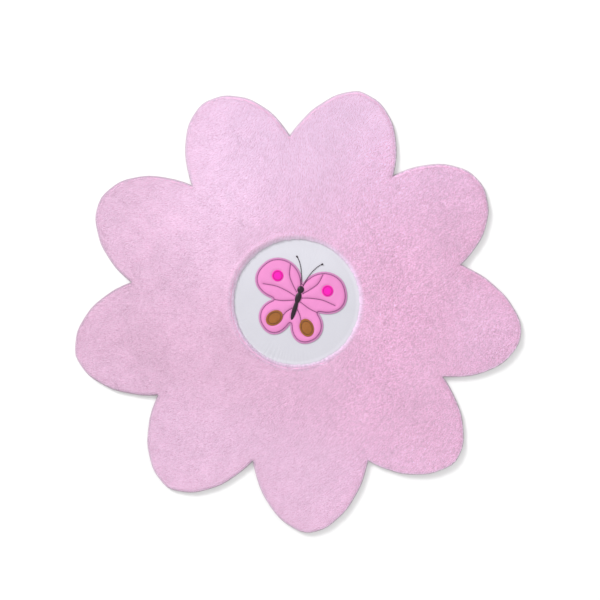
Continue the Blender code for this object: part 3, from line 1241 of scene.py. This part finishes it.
def outside_distance(line, points):
    """How far the points are outside a convex line, and 0 inside it."""
    centre = line.mean(axis=0)
    distance = nearest(point_tree(spaced(line, FINE_SPACING)), points)[1]
    angles = np.arctan2(line[:, 1] - centre[1], line[:, 0] - centre[0]) % FULL_TURN
    order = np.argsort(angles)
    reach = np.linalg.norm(line - centre, axis=-1)[order]
    from_centre = points - centre
    angle = np.arctan2(from_centre[..., 1], from_centre[..., 0]) % FULL_TURN
    limit = np.interp(angle, angles[order], reach, period=FULL_TURN)
    return np.where(np.linalg.norm(from_centre, axis=-1) < limit, 0.0, distance)


def wing_heights(points):
    """Height of the wings over their underside, how far a point is margin, and how much painted
    shade it takes next to a seam.
    """
    edge_distance = nearest(wing_edge_tree, points)[1]
    seams = np.concatenate([spaced(outline_seam, FINE_SPACING)] + inner_seams)
    seam_distance = nearest(point_tree(seams), points)[1]
    puff = PUFF_HEIGHT * (1 - np.exp(-seam_distance / PUFF_REACH))
    margin = ramp(-edge_distance, -(WING_MARGIN_WIDTH + MARGIN_BLEND / 2), MARGIN_BLEND)
    height = SEAM_HEIGHT + puff + PUFF_UNEVENNESS * soft_noise(points, 0.035, 31)
    rounded = np.sqrt(np.clip(edge_distance / RIM_WIDTH, 0.0, 1.0))
    rim = MARGIN_HEIGHT * raised(RIM_HEIGHT, rounded)
    height = (1 - margin) * height + margin * rim
    sewn_on = patch_lines + [body_line()]
    apart = np.min([outside_distance(line, points) for line in sewn_on], axis=0)
    seat = smooth_step(1 - apart / SEAT_SLOPE)
    # Painted shade next to the seams, where a fold's shadow would fall
    painted_crease_shade = np.exp(-seam_distance / CREASE_SHADE_REACH)
    return (1 - seat) * height + seat * SEAT_HEIGHT, margin, painted_crease_shade


def make_wings():
    sole = inset(wing_line, WING_SOLE_INSET)
    rings = [
        with_height(CENTRE + share * (sole - CENTRE), wing_low.z) for share in WING_SOLE_SHARES
    ]
    underside = np.ones((len(rings), WING_COLUMNS))
    grid = CENTRE + WING_TOP_SHARES[:, None, None] * (wing_line - CENTRE)
    heights, margin, painted_crease_shade = wing_heights(grid)
    rings += list(with_height(grid, wing_low.z + heights))
    piece = rings_piece("padded_wings", rings, [WING_MATERIAL])
    add_value(piece, "margin", np.concatenate((underside, margin)))
    add_value(piece, "painted_crease_shade", np.concatenate((underside, painted_crease_shade)))
    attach(piece, "root")
    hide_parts("butterfly_wings")
    return piece


wings = make_wings()

# ---- Patches and body

PATCH_RING_SHARE = 0.76
# Shares of the way from the patch's centre to its outline, and of its solid's thickness
PATCH_SECTION = (
    (0.3, 0.0),
    (0.96, 0.0),
    (1.0, 0.30),
    (1.0, 0.62),
    (0.985, 0.84),
    (0.95, 0.97),
    (0.90, 1.02),
    (0.84, 1.0),
    (PATCH_RING_SHARE + 0.03, 0.86),
    (PATCH_RING_SHARE - 0.03, 0.86),
    (0.66, 1.04),
    (0.5, 1.12),
    (0.3, 1.16),
    (0.1, 1.18),
)
BODY_RINGS_DEG = np.linspace(2, 178, 90)
BODY_TOP_COLUMNS = 21
BODY_SOLE_COLUMNS = 8
BODY_HEIGHT_SHARE = 0.55  # of its half width
BODY_SQUARENESS = 0.85
BODY_LEAST_WIDTH = 0.15


def make_patch(patch, line):
    """A felt patch: rounded at its edge, with a ring pressed in by its stitches."""
    low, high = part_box(patch.node)
    centre = line.mean(axis=0)
    thickness = high.z - low.z
    rings = [
        with_height(centre + share * (line - centre), low.z + rise * thickness)
        for share, rise in PATCH_SECTION
    ]
    piece = rings_piece(patch.name, rings, [patch.material])
    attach(piece, "root")
    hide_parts(patch.node)
    return piece


def across_body(across, along, height):
    """Points across the body at one place along it, in the rug's frame."""
    return with_height(placed(np.stack((across, np.full(len(across), along)), axis=-1)), height)


def make_body():
    """The stuffed body, in rings along its length."""
    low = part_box("butterfly_body")[0].z
    tail, head = BODY_SWELLINGS[0], BODY_SWELLINGS[-1]
    start, end = tail[0] - tail[1], head[0] + head[1]
    over = np.radians(np.linspace(0, 180, BODY_TOP_COLUMNS))
    flat = np.linspace(-1, 1, BODY_SOLE_COLUMNS + 2)[1:-1]
    rings = []
    for turn in np.radians(BODY_RINGS_DEG):
        along = (start + end) / 2 - math.cos(turn) * (end - start) / 2
        width = max(body_half_width(np.array(along)), BODY_LEAST_WIDTH)
        rise = BODY_HEIGHT_SHARE * width * np.sin(over) ** BODY_SQUARENESS
        top = across_body(width * np.cos(over), along, low + rise * MM)
        bottom = across_body(flat * width, along, low)
        rings.append(np.concatenate((top, bottom))[::-1])
    piece = rings_piece("stuffed_body", rings, [SATIN_MATERIAL])
    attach(piece, "root")
    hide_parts("butterfly_body")
    return piece


patch_pieces = [make_patch(patch, line) for patch, line in zip(PATCHES, patch_lines)]
make_body()

# ---- Stitches

STITCH_LENGTH = 4.2 * MM
STITCH_GAP = 0.4 * MM
STITCH_SIDES = 6
STITCH_LIFT = 0.6  # share of the thread's radius
# Share of the stitch's length, share of its radius, share of its lift
STITCH_SECTION = (
    (0.0, 0.25, -0.6),
    (0.08, 0.75, 0.2),
    (0.3, 1.0, 0.9),
    (0.7, 1.0, 0.9),
    (0.92, 0.75, 0.2),
    (1.0, 0.25, -0.6),
)


def stitches(name, lines, radius, material, slot, length=STITCH_LENGTH, closed=False):
    """Backstitches along the lines, lying on what is under them."""
    rings = []
    for line in lines:
        ends = spaced(line, length + STITCH_GAP, closed=closed)
        following = np.roll(ends, -1, axis=0) if closed else ends[1:]
        starts = ends if closed else ends[:-1]
        spare = STITCH_GAP / 2 * unit(following - starts)
        starts, following = starts + spare, following - spare
        along = unit(following - starts)
        across = np.stack((-along[:, 1], along[:, 0]), axis=-1)
        heights = [heights_on(lying, place) for place in (starts, following)]
        section = []
        for share, thickness, lift in STITCH_SECTION:
            place = starts + share * (following - starts)
            height = heights[0] + share * (heights[1] - heights[0]) + lift * radius * STITCH_LIFT
            ring = []
            for angle in bearings(STITCH_SIDES):
                side = place + radius * thickness * math.cos(angle) * across
                ring.append(with_height(side, height + radius * thickness * math.sin(angle)))
            section.append(np.stack(ring, axis=1))
        rings.append(np.stack(section, axis=1))
    rings = np.concatenate(rings)
    each = len(STITCH_SECTION) * STITCH_SIDES
    faces = ring_faces(len(STITCH_SECTION), STITCH_SIDES)
    every = [
        [first + corner for corner in face]
        for first in range(0, len(rings) * each, each)
        for face in faces
    ]
    piece = mesh_piece(name, rings, every, [material])
    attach(piece, "root")
    return piece


lying = face_tree(white_round, wings, *patch_pieces)
SEAM_THREAD = 0.9 * MM
RING_THREAD = 1.0 * MM
RING_STITCH_LENGTH = 3.0 * MM
ANTENNA_THREAD = 1.3 * MM
stitches("outline_stitches", [outline_seam], SEAM_THREAD, PLUM_THREAD, "dark_satin", closed=True)
stitches("seam_stitches", inner_seams, SEAM_THREAD, PLUM_THREAD, "dark_satin")
for patch, line in zip(PATCHES, patch_lines):
    middle = line.mean(axis=0)
    ring = middle + PATCH_RING_SHARE * (line - middle)
    look = (RING_THREAD, patch.thread, patch.slot, RING_STITCH_LENGTH)
    stitches(patch.name + "_stitches", [ring], *look, closed=True)
ANTENNAE = mirrored([[(3, 45), (7, 64), (14, 86), (25, 106), (35, 117)]])
ANTENNA_KNOTS = mirrored([[(33.5, 115.5), (38.0, 119.5)]])
KNOT_THREAD = 2.3 * MM
KNOT_LENGTH = 6.0 * MM
for name, lines, radius, length in (
    ("antenna_stitches", ANTENNAE, ANTENNA_THREAD, STITCH_LENGTH),
    ("antenna_knots", ANTENNA_KNOTS, KNOT_THREAD, KNOT_LENGTH),
):
    stitches(name, [curved(line) for line in lines], radius, DARK_THREAD, "dark_satin", length)

# ---- Floor, light and camera

PHOTO_WIDTH = 1.613
PHOTO_MIDDLE = (0.005, 0.032)
LENS_MM = 85.0
SENSOR_MM = 36.0
LAMP_DISTANCE = 8.0
LAMP_ELEVATION_DEG = 33.0
LAMP_SIDE = 1.7
LAMP_POWER = 516.0
BACKDROP_STRENGTH = 1.02
FLOOR_COLOUR = (0.78, 0.78, 0.78)
FLOOR_HALF = 6.0


def studio():
    """A plain floor, one soft lamp from the top left, an even white surround and the camera."""
    scene = bpy.context.scene
    floor_material = new_material("floor_white", FLOOR_COLOUR, 0.8)[0]
    half = FLOOR_HALF
    corners = [(-half, -half, 0), (half, -half, 0), (half, half, 0), (-half, half, 0)]
    mesh_piece("floor", corners, [(0, 1, 2, 3)], [floor_material])

    area = bpy.data.lights.new("soft_lamp", "AREA")
    area.size = LAMP_SIDE
    area.energy = LAMP_POWER
    lamp = bpy.data.objects.new("soft_lamp", area)
    scene.collection.objects.link(lamp)
    elevation, bearing = math.radians(LAMP_ELEVATION_DEG), math.radians(LAMP_BEARING_DEG)
    flat = LAMP_DISTANCE * math.cos(elevation)
    height = LAMP_DISTANCE * math.sin(elevation)
    lamp.location = (flat * math.cos(bearing), flat * math.sin(bearing), height)
    lamp.rotation_euler = (math.pi / 2 - elevation, 0, bearing + math.pi / 2)

    world = bpy.data.worlds.new("studio")
    world.use_nodes = True
    backdrop = world.node_tree.nodes["Background"]
    backdrop.inputs["Color"].default_value = (1.0, 1.0, 1.0, 1.0)
    backdrop.inputs["Strength"].default_value = BACKDROP_STRENGTH
    scene.world = world
    scene.view_settings.view_transform = "Standard"

    view = bpy.data.cameras.new("camera")
    view.lens = LENS_MM
    view.sensor_width = SENSOR_MM
    camera = bpy.data.objects.new("camera", view)
    scene.collection.objects.link(camera)
    camera.location = (*PHOTO_MIDDLE, PHOTO_WIDTH * LENS_MM / SENSOR_MM + RUG_TOP)
    scene.camera = camera


studio()
